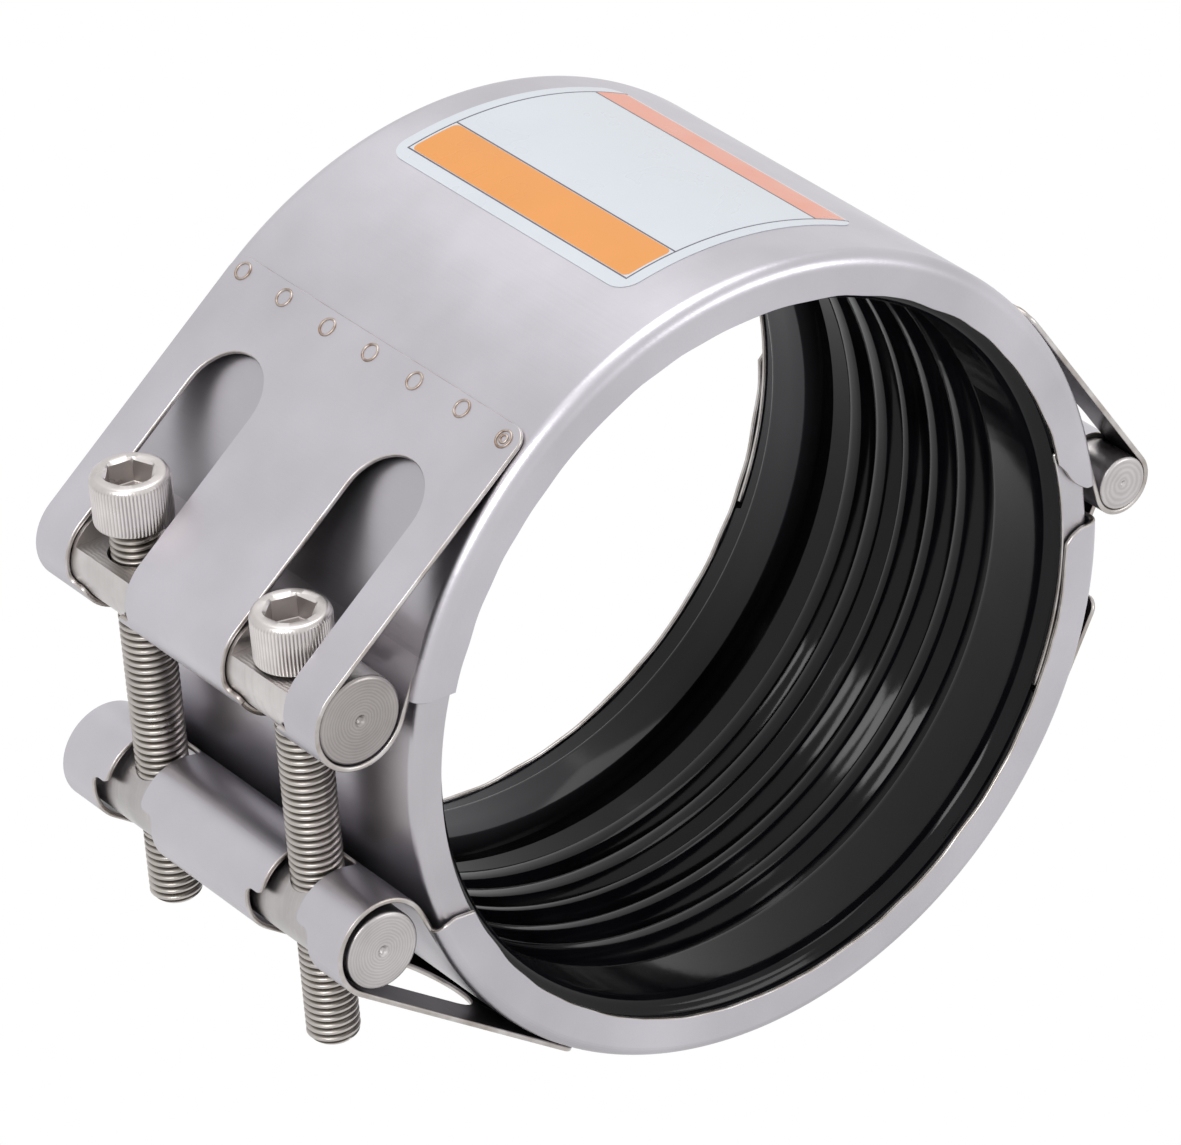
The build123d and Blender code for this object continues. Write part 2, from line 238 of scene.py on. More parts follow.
def seal_rubber():
    """Black moulded rubber with a soft sheen, and a painted sheen where the mesh is marked."""
    black = (0.008, 0.008, 0.010)
    material, tree, shader = node_material("seal_rubber", black, 0.0, 0.28, Specular_IOR_Level=0.20)
    place = object_coordinates(tree)
    tone = two_tones(tree, clouds(tree, place, 60, 6), (0.002, 0.002, 0.003), (0.005, 0.005, 0.0065))
    # Painted sheen: a lighter grey that stands in for a reflection on the rear lip.
    sheen_painted_tone = blended(tree, painted(tree, "dust"), tone, (0.078, 0.078, 0.085, 1))
    surfaced(tree, shader, sheen_painted_tone, clouds(tree, place, 30, 5, 0.08, 0.15))
    bump(tree, clouds(tree, place, 260, 4), shader, 0.02, 0.0003)
    return material


def label_film(name, colour):
    """Printed film, very slightly uneven."""
    roughness = 0.3
    material, tree, shader = node_material(name, colour, 0.0, roughness)
    place = object_coordinates(tree)
    tone = two_tones(tree, clouds(tree, place, 40, 3), tinted(colour, 0.96), colour)
    surfaced(tree, shader, tone, clouds(tree, place, 80, 2, roughness - 0.05, roughness + 0.08))
    return material


SHEET_TONE, PLATE_TONE = (0.54, 0.52, 0.56), (0.52, 0.50, 0.53)
# The upper bar's side and ends are lit and shaded copies of one steel: painted light on its side, painted
# shade on its ends.
LIT_BAR_SIDE_TONE, SHADED_BAR_END_TONE, BRIGHT_BAR_TONE = (0.66, 0.63, 0.62), (0.43, 0.40, 0.39), (0.60, 0.57, 0.57)
sheet_steel = satin_sheet_steel("satin_sheet_steel", SHEET_TONE)
plate_steel = satin_sheet_steel("satin_plate_steel", PLATE_TONE)
edge_steel = cut_edge_steel()
upper_bar_steel = turned_steel("upper_bar_steel", LIT_BAR_SIDE_TONE, 44)
upper_end_steel = turned_steel("upper_end_steel", SHADED_BAR_END_TONE, 44)
lower_bar_steel = turned_steel("lower_bar_steel", BRIGHT_BAR_TONE, 44)
pin_steel = turned_steel("turned_pin_steel", BRIGHT_BAR_TONE, 24)
# Head and thread are one stainless steel in two copies: the head's painted lighter, the thread's painted
# darker.
thread_steel = bolt_steel("thread_steel", (0.54, 0.505, 0.475))
head_steel = bolt_steel("head_steel", (0.80, 0.76, 0.75))
weld_steel = weld_mark_steel()
rubber = seal_rubber()
film_white = label_film("film_white", (0.60, 0.635, 0.68))
film_orange = label_film("film_orange", (0.72, 0.29, 0.065))
film_coral = label_film("film_coral", (0.72, 0.29, 0.20))
film_line = label_film("film_line", (0.10, 0.09, 0.12))


# Building pieces


def new_object(name, data):
    """Object in the scene."""
    thing = bpy.data.objects.new(name, data)
    bpy.context.scene.collection.objects.link(thing)
    return thing


def mesh_of(name, points, faces):
    """Mesh of points in metres and faces."""
    mesh = bpy.data.meshes.new(name)
    mesh.from_pydata(points, [], faces)
    return mesh


def paint(mesh, name, shades):
    """Writes a grey shade on each point, for a material to read."""
    layer = mesh.color_attributes.new(name, "FLOAT_COLOR", "POINT")
    for mark, shade in zip(layer.data, shades):
        mark.color = (shade, shade, shade, 1)


def new_piece(name, mesh, body, materials, nodes=()):
    """Named object on its body and the CAD nodes it stands for."""
    kinds = [polygon.material_index for polygon in mesh.polygons]
    mesh.materials.clear()
    for material in materials:
        mesh.materials.append(material)
    mesh.polygons.foreach_set("material_index", kinds)
    piece = new_object(name, mesh)
    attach(piece, body)
    if nodes:
        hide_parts(*nodes)
    return piece


class SheetPath:
    """Middle line of a bent sheet in the XZ plane, measured by the length along it."""

    def __init__(self):
        self.parts = []
        self.marks = {}
        self.length = 0.0

    def arc(self, name, centre, radius, start, end, side, step):
        """Adds an arc between two angles, with its outer face on a side of it and a division per step."""
        size = radius * math.radians(abs(end - start))
        count = max(1, round(abs(end - start) / step))
        self.parts.append(("arc", self.length, size, centre, radius, start, end, side, count))
        self.marks[name] = self.length
        self.length += size

    def line(self, name, start, end, normal):
        """Adds a straight stretch."""
        size = (end - start).length
        self.parts.append(("line", self.length, size, start, end, normal, None, None, 1))
        self.marks[name] = self.length
        self.length += size

    def stations(self):
        """Lengths at which the sheet is divided."""
        cuts = []
        for part in self.parts:
            cuts += [part[1] + part[2] * i / part[8] for i in range(part[8])]
        return cuts[1:]

    def place(self, s):
        """Point and normal of the middle line at a length."""
        part = self.parts[0]
        for other in self.parts:
            if other[1] <= s + 1e-6:
                part = other
        share = (s - part[1]) / part[2]
        if part[0] == "arc":
            angle = part[5] + (part[6] - part[5]) * share
            return at(part[4], angle, part[3]), at(part[7], angle)
        return part[3].lerp(part[4], share), part[5]


def rounded(points, radii, step=12):
    """Closed outline with some of its corners rounded."""
    outline = []
    count = len(points)
    for i, radius in enumerate(radii):
        here = Vector(points[i])
        if not radius:
            outline.append(here)
            continue
        before = (Vector(points[i - 1]) - here).normalized()
        after = (Vector(points[(i + 1) % count]) - here).normalized()
        half = before.angle(after) / 2
        reach = radius / math.tan(half)
        middle = here + (before + after).normalized() * (radius / math.sin(half))
        first, last = here + before * reach - middle, here + after * reach - middle
        turn = first.angle_signed(last)
        pieces = max(2, round(math.degrees(abs(turn)) / step))
        for k in range(pieces + 1):
            outline.append(middle + Matrix.Rotation(-turn * k / pieces, 2) @ first)
    return outline


def flat_pattern(surface, outlines, cuts, place):
    """Adds a flat pattern to the surface: outline and holes filled, divided and then bent."""
    flat = bmesh.new()
    for outline in outlines:
        corners = [flat.verts.new((x, y, 0)) for x, y in outline]
        for i, corner in enumerate(corners):
            flat.edges.new((corner, corners[(i + 1) % len(corners)]))
    bmesh.ops.triangle_fill(flat, use_beauty=True, use_dissolve=False, edges=flat.edges[:])
    low, high = min(v.co.x for v in flat.verts), max(v.co.x for v in flat.verts)
    for cut in cuts:
        if low + 1e-4 < cut < high - 1e-4:
            bmesh.ops.bisect_plane(
                flat,
                geom=flat.verts[:] + flat.edges[:] + flat.faces[:],
                dist=1e-4,
                plane_co=(cut, 0, 0),
                plane_no=(1, 0, 0),
            )
    layer = surface.verts.layers.float_vector["normal"]
    copies = {}
    for vertex in flat.verts:
        point, normal = place(vertex.co.x)
        copy = surface.verts.new((point.x, vertex.co.y, point.y))
        copy[layer] = Vector((normal.x, 0, normal.y))
        copies[vertex] = copy
    for face in flat.faces:
        surface.faces.new([copies[v] for v in face.verts])
    flat.free()


def end_rim(surface, angles, side, radius, bend, depth, ends, wave):
    """Adds the rounded corner and the inward flange of a rim to the surface."""
    layer = surface.verts.layers.float_vector["normal"]
    wall_end = STRIP_HALF if radius == MIDDLE else PLATE_FACE - PLATE_BEND
    corner = radius + SHEET / 2 - bend
    middle = bend - SHEET / 2
    section = [
        (corner + middle * math.cos(math.radians(a)), wall_end + middle * math.sin(math.radians(a)), a)
        for a in range(0, 91, 10)
    ]
    edge = radius + SHEET / 2 - depth
    section += [(corner + (edge - corner) * k / 8, wall_end + middle, 90) for k in range(1, 9)]
    rows = []
    for r, y, lean in section:
        row = []
        low, high = ends(r)
        lean = math.radians(lean)
        for angle in angles:
            angle = min(max(angle, low), high)
            inward = (corner - r) / (corner - edge) if r < corner else 0.0
            waved = r + wave * inward * noise.noise(Vector((angle * 0.16, side * 3.1, radius)))
            point, normal = at(waved, angle), at(math.cos(lean), angle)
            vertex = surface.verts.new((point.x, side * y, point.y))
            vertex[layer] = Vector((normal.x, side * math.sin(lean), normal.y))
            row.append(vertex)
        rows.append(row)
    for upper, lower in zip(rows, rows[1:]):
        for i in range(len(angles) - 1):
            surface.faces.new([upper[i], upper[i + 1], lower[i + 1], lower[i]])


def thicken(surface, thickness, flip=False):
    """Mesh of a sheet: the surface on both sides of its middle, with rounded cut edges between them."""
    layer = surface.verts.layers.float_vector["normal"]
    bmesh.ops.remove_doubles(surface, verts=surface.verts[:], dist=2e-3)
    bmesh.ops.dissolve_degenerate(surface, edges=surface.edges[:], dist=1e-4)
    surface.verts.index_update()
    surface.verts.ensure_lookup_table()
    turned = -1 if flip else 1
    points, sides = [], []
    for vertex in surface.verts:
        normal = vertex[layer].normalized()
        sides.append(normal)
        for sign in (1, -1):
            point = vertex.co + normal * (sign * thickness / 2)
            points.append((point.x * MM, point.y * MM, point.z * turned * MM))
    faces, normals, kinds = [], [], []

    def put(corners, face_normals, kind):
        if flip:
            corners, face_normals = corners[::-1], face_normals[::-1]
            face_normals = [Vector((n.x, n.y, -n.z)) for n in face_normals]
        faces.append(corners)
        normals.extend(face_normals)
        kinds.append(kind)

    outwards, borders, seen = {}, [], {}
    for face in surface.faces:
        ring = [v.index for v in face.verts]
        mean = sum((sides[i] for i in ring), Vector())
        if face.normal.length < 0.5:
            face.normal_update()
        if face.normal.dot(mean) < 0:
            ring.reverse()
        put([2 * i for i in ring], [sides[i] for i in ring], 0)
        put([2 * i + 1 for i in reversed(ring)], [-sides[i] for i in reversed(ring)], 0)
        for i, a in enumerate(ring):
            b = ring[(i + 1) % len(ring)]
            key = (min(a, b), max(a, b))
            seen.setdefault(key, []).append((a, b))
    for uses in seen.values():
        if len(uses) == 1:
            a, b = uses[0]
            along = surface.verts[b].co - surface.verts[a].co
            out = along.cross(sides[a] + sides[b]).normalized()
            borders.append((a, b))
            for i in (a, b):
                outwards[i] = outwards.get(i, Vector()) + out
    middles = {}
    for i, out in outwards.items():
        out.normalize()
        middles[i] = len(points)
        for share in (EDGE_SHARE, -EDGE_SHARE):
            level = surface.verts[i].co + sides[i] * (share * thickness / 2)
            point = level + out * (EDGE_BULGE * thickness)
            points.append((point.x * MM, point.y * MM, point.z * turned * MM))
    for a, b in borders:
        rows = []
        for i in (a, b):
            out, side = outwards[i], sides[i]
            rows.append((
                (2 * i, out * 0.6 + side), (middles[i], out + side * 0.45),
                (middles[i] + 1, out - side * 0.45), (2 * i + 1, out * 0.6 - side),
            ))
        for k in range(3):
            ring = [rows[0][k], rows[0][k + 1], rows[1][k + 1], rows[1][k]]
            put([corner for corner, _ in ring], [normal.normalized() for _, normal in ring], 1)
    mesh = mesh_of("sheet", points, faces)
    for polygon, kind in zip(mesh.polygons, kinds):
        polygon.material_index = kind
        polygon.use_smooth = True
    mesh.normals_split_custom_set([tuple(n) for n in normals])
    # Painted shade amount on each corner, none here; casing_mesh fills it in for the casings.
    marks = mesh.color_attributes.new("painted_shade", "FLOAT_COLOR", "CORNER")
    marks.data.foreach_set("color", [0.0, 0.0, 0.0, 1.0] * len(marks.data))
    return mesh


def new_surface():
    """Empty surface whose points carry the direction of its outer face."""
    surface = bmesh.new()
    surface.verts.layers.float_vector.new("normal")
    return surface


# Casings


def loop_angles(centre, loop_radius):
    """Bearing of a loop, and the angles from it at which the sheet leaves the wall and comes back as a leg."""
    distance = math.hypot(*centre)
    bearing = math.degrees(math.atan2(centre[1], centre[0]))
    neck = math.degrees(math.acos((MIDDLE + loop_radius) / distance))
    leg = math.degrees(math.acos((LEG_MIDDLE - loop_radius) / distance))
    return bearing, neck, leg


def casing_path(bar_centre):
    """The whole sheet from the bolt-side weld end, round the bar, over the pipe and round the pin."""
    path = SheetPath()
    bar_radius = BAR_LOOP_RADIUS + SHEET / 2
    bearing, neck, leg = loop_angles(bar_centre, bar_radius)
    neck, leg = bearing - neck, bearing - leg
    path.arc("bolt_tail", (0, 0), LEG_MIDDLE, leg - TAIL_ANGLE, leg, -1, 1.0)
    path.line("bolt_leg", at(LEG_MIDDLE, leg), at(bar_radius, leg, bar_centre), at(-1, leg))
    path.arc("bolt_loop", bar_centre, bar_radius, leg, neck + 180, -1, 6)
    path.line("bolt_neck", at(bar_radius, neck + 180, bar_centre), at(MIDDLE, neck), at(1, neck))
    pin_radius = KNUCKLE_LOOP_RADIUS + SHEET / 2
    _, pin_neck, pin_leg = loop_angles((PIN_X, 0), pin_radius)
    path.arc("wall", (0, 0), MIDDLE, neck, pin_neck, 1, BEND_STEP)
    path.line("pin_neck", at(MIDDLE, pin_neck), at(pin_radius, pin_neck + 180, (PIN_X, 0)), at(1, pin_neck))
    path.arc("pin_loop", (PIN_X, 0), pin_radius, pin_neck - 180, pin_leg, -1, 8)
    path.line("pin_leg", at(pin_radius, pin_leg, (PIN_X, 0)), at(LEG_MIDDLE, pin_leg), at(-1, pin_leg))
    path.arc("pin_tail", (0, 0), LEG_MIDDLE, pin_leg, pin_leg + TAIL_ANGLE, -1, 1.0)
    path.neck, path.pin_neck, path.leg, path.pin_leg = neck, pin_neck, leg, pin_leg
    return path


def slot_outline(path, y):
    """Bolt slot in the flat sheet: wide for the head, narrow for the shank, with a rounded step."""
    wide, narrow = SLOT_WIDE, SLOT_NARROW
    bar_radius = BAR_LOOP_RADIUS + SHEET / 2
    top = path.marks["bolt_leg"] + SLOT_START
    jog = path.marks["bolt_loop"] + bar_radius * math.radians(SLOT_STEP_ANGLE - path.leg)
    end = path.marks["bolt_loop"] + bar_radius * math.radians(SLOT_END_ANGLE - path.leg) + narrow
    corners = [
        (top, y - wide), (jog, y - wide), (jog, y - narrow), (end, y - narrow),
        (end, y + narrow), (jog, y + narrow), (jog, y + wide), (top, y + wide),
    ]
    radii = [wide * 0.999, 2.0, 1.5, narrow * 0.999]
    return rounded(corners, radii + radii[::-1], 9)


def casing_surface(bar_centre, low_end, high_end, knuckles_at_ends, window_start):
    """Middle surface of one casing half, as the upper one."""
    path = casing_path(bar_centre)
    surface = new_surface()
    end, wall_end = path.length, path.marks["pin_neck"]
    window = path.marks["pin_tail"] - window_start
    edge, middle = STRIP_HALF, KNUCKLE_START
    if knuckles_at_ends:
        strip = rounded([(0, -edge), (end, -edge), (end, edge), (0, edge)], [STRIP_CORNER] * 4)
        opening = [(wall_end, -middle), (window, -middle), (window, middle), (wall_end, middle)]
        outlines = [strip, rounded(opening, [0, WINDOW_CORNER, WINDOW_CORNER, 0])]
        skirts = [(-middle, middle)]
    else:
        inner = middle - KNUCKLE_PLAY
        front = [(0, -edge), (wall_end, -edge), (wall_end, -inner)]
        front += [(window, -inner), (window, -edge), (end, -edge)]
        radii = [STRIP_CORNER, 0, 0, WINDOW_CORNER, TAB_CORNER, STRIP_CORNER]
        outlines = [rounded(front + [(x, -y) for x, y in reversed(front)], radii + radii[::-1])]
        skirts = [(-edge, -middle), (middle, edge)]
    outlines += [slot_outline(path, -BOLT_Y), slot_outline(path, BOLT_Y)]
    flat_pattern(surface, outlines, path.stations(), path.place)
    last = low_end(MIDDLE)
    steps = max(2, round((path.pin_neck - last) / BEND_STEP))
    skirt_angles = [path.pin_neck + (last - path.pin_neck) * k / steps for k in range(steps + 1)]
    for front, back in skirts:
        outline = [(last, front), (path.pin_neck, front), (path.pin_neck, back), (last, back)]
        flat_pattern(surface, [outline], skirt_angles, lambda angle: (at(MIDDLE, angle), at(1, angle)))
    count = max(1, round((path.neck - path.pin_neck) / BEND_STEP))
    wall_angles = [path.neck + (path.pin_neck - path.neck) * k / count for k in range(count + 1)]
    tip = high_end(MIDDLE)
    angles = [max(high_end(r) for r in (MIDDLE, 90, 86))]
    angles += [tip + (path.neck - tip) * k / 5 for k in range(5)]
    angles += wall_angles + skirt_angles[1:] + [last - 1]

    def ends(r):
        return low_end(r), high_end(r)

    for side in (-1, 1):
        end_rim(surface, angles, side, MIDDLE, END_BEND, FLANGE_DEPTH, ends, RIM_WAVE)
    return surface, path


def between(r, table):
    """Value at a radius from a short table of (radius, value)."""
    table = sorted(table)
    if r <= table[0][0]:
        return table[0][1]
    for (r0, v0), (r1, v1) in zip(table, table[1:]):
        if r <= r1:
            return v0 + (v1 - v0) * (r - r0) / (r1 - r0)
    return table[-1][1]


def upper_low_end(r):
    return between(r, [(85.7, 10), (87.3, 8), (88.3, 6), (90, 4.5), (91.8, 3.6), (93.8, 3.1), (95.5, 3.1)])


def upper_high_end(r):
    return between(r, [(85.7, 160.7), (95.5, 162.3)])


def lower_low_end(r):
    return between(r, [(85.7, 4.6), (87.5, 3.4), (90.1, 2.7), (96, 2.7)])


def lower_high_end(r):
    return between(r, [(85.7, 161.0), (90, 162.3), (93, 162.3), (95.5, 161.5)])


def casing_mesh(surface, path, flip=False):
    """Sheet of a casing half, with painted shade marked under its legs, behind a leg and on downward faces."""
    mesh = thicken(surface, SHEET, flip)
    marks = mesh.color_attributes["painted_shade"].data
    for polygon in mesh.polygons:
        centre = polygon.center / MM
        flat = Vector((centre.x, -centre.z if flip else centre.z))
        facing = Vector((polygon.normal.x, -polygon.normal.z if flip else polygon.normal.z))
        # Painted shade: faces that turn downwards are darkened.
        painted_shade_amount = 0.6 * min(1.0, max(0.0, -0.1 - polygon.normal.z))
        # Painted shade: full on the undersides of both legs.
        for angle in (path.leg, path.pin_leg):
            outwards = at(1, angle)
            under = flat.length > CASING_RADIUS + 0.4 and facing.dot(outwards) < -0.8
            if under and flat.dot(outwards) > CASING_RADIUS - 4:
                painted_shade_amount = 1.0
        # Painted shade: on the wall under the bolt-side loop, growing from the leg towards the neck.
        bearing = math.degrees(math.atan2(flat.y, flat.x))
        wall = CASING_RADIUS - 0.5 < flat.length < CASING_RADIUS + 0.1 and facing.dot(flat) > 0
        if wall and path.leg + 2 < bearing < path.neck:
            painted_shade_amount = min(0.2, 0.03 * (bearing - path.leg - 2))
        for corner in polygon.loop_indices:
            marks[corner].color = (painted_shade_amount, painted_shade_amount, painted_shade_amount, 1)
    return mesh


SHEET_FINISHES = [sheet_steel, edge_steel]
surface, upper_path = casing_surface((BAR_X, BAR_Z), upper_low_end, upper_high_end, True, UPPER_WINDOW)
mesh = casing_mesh(surface, upper_path)
new_piece("upper_casing_sheet", mesh, "upper_half", SHEET_FINISHES, ["upper_casing"])
lower_loop = (BAR_X, BAR_Z - LOWER_LOOP_LIFT)
surface, lower_path = casing_surface(lower_loop, lower_low_end, lower_high_end, False, LOWER_WINDOW)
mesh = casing_mesh(surface, lower_path, True)
new_piece("lower_casing_sheet", mesh, "lower_half", SHEET_FINISHES, ["lower_casing"])


def bridge_plate(name, start, end, body, node):
    """Channel-shaped plate behind the gap between the casing ends."""
    surface = new_surface()
    radius = PLATE_RADIUS - SHEET / 2
    count = max(2, round((end - start) / BEND_STEP))
    angles = [start + (end - start) * k / count for k in range(count + 1)]
    half = PLATE_FACE - PLATE_BEND
    outline = [(start, -half), (end, -half), (end, half), (start, half)]
    flat_pattern(surface, [outline], angles, lambda angle: (at(radius, angle), at(1, angle)))
    for side in (-1, 1):
        end_rim(surface, angles, side, radius, PLATE_BEND, PLATE_FLANGE, lambda r: (start, end), 0.0)
    new_piece(name, thicken(surface, SHEET), body, [plate_steel, edge_steel], [node])


bridge_plate("bolt_side_plate", 152, 208, "upper_half", "bolt_side_bridge")
bridge_plate("hinge_side_plate", -28, 11, "lower_half", "hinge_side_bridge")


# Round pieces


def revolved_mesh(section, segments):
    """Closed mesh turned about Y from (radius, y) points."""
    points, faces, rings = [], [], []
    for r, y in section:
        if r == 0:
            rings.append([len(points)])
            points.append((0, y * MM, 0))
            continue
        rings.append(list(range(len(points), len(points) + segments)))
        for j in range(segments):
            turn = 2 * math.pi * j / segments
            points.append((r * MM * math.cos(turn), y * MM, r * MM * math.sin(turn)))
    for lower, upper in zip(rings, rings[1:]):
        for j in range(segments):
            k = (j + 1) % segments
            a, b = lower[j % len(lower)], lower[k % len(lower)]
            c, d = upper[k % len(upper)], upper[j % len(upper)]
            face = [a]
            for corner in (d, c, b):
                if corner not in face:
                    face.append(corner)
            faces.append(face)
    return mesh_of("turned", points, faces)


def turning_uv(mesh, centre):
    """UV whose U is the distance from the turning axis, for the lathe marks."""
    layer = mesh.uv_layers.new(name="turning")
    for polygon in mesh.polygons:
        for loop in polygon.loop_indices:
            point = mesh.vertices[mesh.loops[loop].vertex_index].co
            x, z = point.x - centre[0], point.z - centre[1]
            layer.data[loop].uv = (math.hypot(x, z) * 10, point.y * 10 + math.atan2(z, x) * 0.02)


def applied(piece, *tools):
    """Mesh of a piece after cutting tools are taken from it."""
    for tool in tools:
        cut = piece.modifiers.new("cut", "BOOLEAN")
        cut.operation, cut.solver, cut.object = "DIFFERENCE", "EXACT", tool
    graph = bpy.context.evaluated_depsgraph_get()
    mesh = bpy.data.meshes.new_from_object(piece.evaluated_get(graph))
    for thing in (piece, *tools):
        old = thing.data
        bpy.data.objects.remove(thing)
        bpy.data.meshes.remove(old)
    return mesh


def loose(mesh):
    """Temporary object for a cut."""
    return new_object("tool", mesh)


def placed(mesh, matrix):
    """The mesh itself, moved by a matrix."""
    mesh.transform(matrix)
    return mesh


def box_mesh(low, high):
    """Block between two corners."""
    mesh = bpy.data.meshes.new("block")
    shape = bmesh.new()
    bmesh.ops.create_cube(shape, size=1.0)
    for vertex in shape.verts:
        for i in range(3):
            vertex.co[i] = (low[i] if vertex.co[i] < 0 else high[i]) * MM
    shape.to_mesh(mesh)
    shape.free()
    return mesh


def smooth_by_angle(mesh, degrees):
    """Smooth shading, apart from edges sharper than an angle."""
    mesh.shade_smooth()
    mesh.set_sharp_from_angle(angle=math.radians(degrees))


def bar_section(radius, half, chamfer, dimple):
    """Half section of a round bar with chamfered ends and a small centre mark."""
    inner = [(0, half - 0.9 * dimple), (dimple * 0.6, half - 0.45 * dimple), (dimple, half)]
    ring = [(radius * k, half) for k in (0.4, 0.7)]
    round_edge = [
        (radius - chamfer + chamfer * math.sin(a), half - chamfer + chamfer * math.cos(a))
        for a in (0.0, 0.35, 0.8, 1.2, 1.5708)
    ]
    end = inner + ring + round_edge
    return [(r, -y) for r, y in end] + [(radius, y) for y in (-20, 0, 20)] + [(r, y) for r, y in reversed(end)]


def round_bar(name, node, radius, centre_z, hole_radius, seats, steels):
    """Tension bar with its cross holes and flats, and with one steel for its side and one for its ends."""
    tools = []
    for y in (-BOLT_Y, BOLT_Y):
        upright = Matrix.Translation((0, y * MM, 0)) @ Matrix.Rotation(math.pi / 2, 4, "X")
        hole = [(0, -20), (hole_radius, -20), (hole_radius, 20), (0, 20)]
        tools.append(placed(revolved_mesh(hole, 48), upright))
        if seats:
            tools.append(box_mesh((-12, y - SEAT_HALF, SEAT_HEIGHT), (12, y + SEAT_HALF, 14)))
        else:
            foot, top = radius - 1.4, radius + 0.5
            sink = [(0, foot), (hole_radius - 0.2, foot), (hole_radius + 1.6, top), (0, top)]
            tools.append(placed(revolved_mesh(sink, 48), upright))
    bar = loose(revolved_mesh(bar_section(radius, BAR_HALF, 1.0, 1.4), 96))
    mesh = placed(applied(bar, *map(loose, tools)), Matrix.Translation((BAR_X * MM, 0, centre_z * MM)))
    smooth_by_angle(mesh, 32)
    turning_uv(mesh, (BAR_X * MM, centre_z * MM))
    for polygon in mesh.polygons:
        at_end = abs(polygon.center.y) > (BAR_HALF - 1.5) * MM and abs(polygon.normal.y) > 0.5
        polygon.material_index = 1 if at_end else 0
    new_piece(name, mesh, node, steels, [node])


# The upper bar's ends take the darker copy of its steel, as painted shade.
UPPER_STEELS, LOWER_STEELS = [upper_bar_steel, upper_end_steel], [lower_bar_steel] * 2
round_bar("upper_tension_bar", "upper_bar", UPPER_BAR_RADIUS, BAR_Z, 6.75, True, UPPER_STEELS)
round_bar("lower_tension_bar", "lower_bar", LOWER_BAR_RADIUS, -BAR_Z, 6.05, False, LOWER_STEELS)

pin = revolved_mesh(bar_section(PIN_RADIUS, STRIP_HALF + 0.5, 0.8, 0.8), 64)
pin.transform(Matrix.Translation((PIN_X * MM, 0, 0)))
smooth_by_angle(pin, 32)
turning_uv(pin, (PIN_X * MM, 0))
new_piece("pin_of_hinge", pin, "lower_half", [pin_steel], ["hinge_pin"])


# Bolts

PITCH, THREAD_RADIUS, THREAD_DEPTH = 1.75, 6.0, 1.07
BOLT_LENGTH, HEAD_RADIUS, SOCKET_HALF = 97.5, 9.0, 5.0
KNURL_TEETH, POINTS_PER_TOOTH, KNURL_DEPTH = 66, 6, 0.28


def round_point(r, turn, z):
    """Point round the bolt's own Z axis, in metres."""
    return r * MM * math.cos(turn), r * MM * math.sin(turn), z * MM


def thread_mesh():
    """Helical M12 thread from the head down to a chamfered tip, with Z along the bolt."""
    around = 48
    flank = [(0.0, 0.0), (0.1, 0.0), (0.22, 0.45), (0.35, 0.93), (0.42, 1.0)]
    flank += [(0.66, 1.0), (0.73, 0.93), (0.86, 0.45), (0.97, 0.0)]
    turns = int(BOLT_LENGTH / PITCH) + 2
    points, faces, depths = [], [], []
    rows = [(turn + share, height) for turn in range(turns) for share, height in flank]
    for along, height in rows:
        for j in range(around + 1):
            z = -BOLT_LENGTH + PITCH * (along - 1 + j / around)
            z = min(max(z, -BOLT_LENGTH), 0.0)
            limit = THREAD_RADIUS - 1.3 + (z + BOLT_LENGTH)
            r = min(THREAD_RADIUS - THREAD_DEPTH * (1 - height), limit, THREAD_RADIUS)
            turn = 2 * math.pi * j / around
            points.append(round_point(r, turn, z))
            # Painted shade: the thread roots get low values, so they come out darker.
            depths.append(height)
    wide = around + 1
    for i in range(len(rows) - 1):
        for j in range(around):
            a = i * wide + j
            faces.append([a, a + 1, a + wide + 1, a + wide])
    mesh = mesh_of("thread", points, faces)
    paint(mesh, "depth", depths)
    shape = bmesh.new()
    shape.from_mesh(mesh)
    bmesh.ops.remove_doubles(shape, verts=shape.verts[:], dist=1e-6)
    bmesh.ops.dissolve_degenerate(shape, edges=shape.edges[:], dist=1e-7)
    bmesh.ops.holes_fill(shape, edges=[e for e in shape.edges if e.is_boundary], sides=0)
    bmesh.ops.recalc_face_normals(shape, faces=shape.faces[:])
    shape.to_mesh(mesh)
    shape.free()
    smooth_by_angle(mesh, 50)
    return mesh


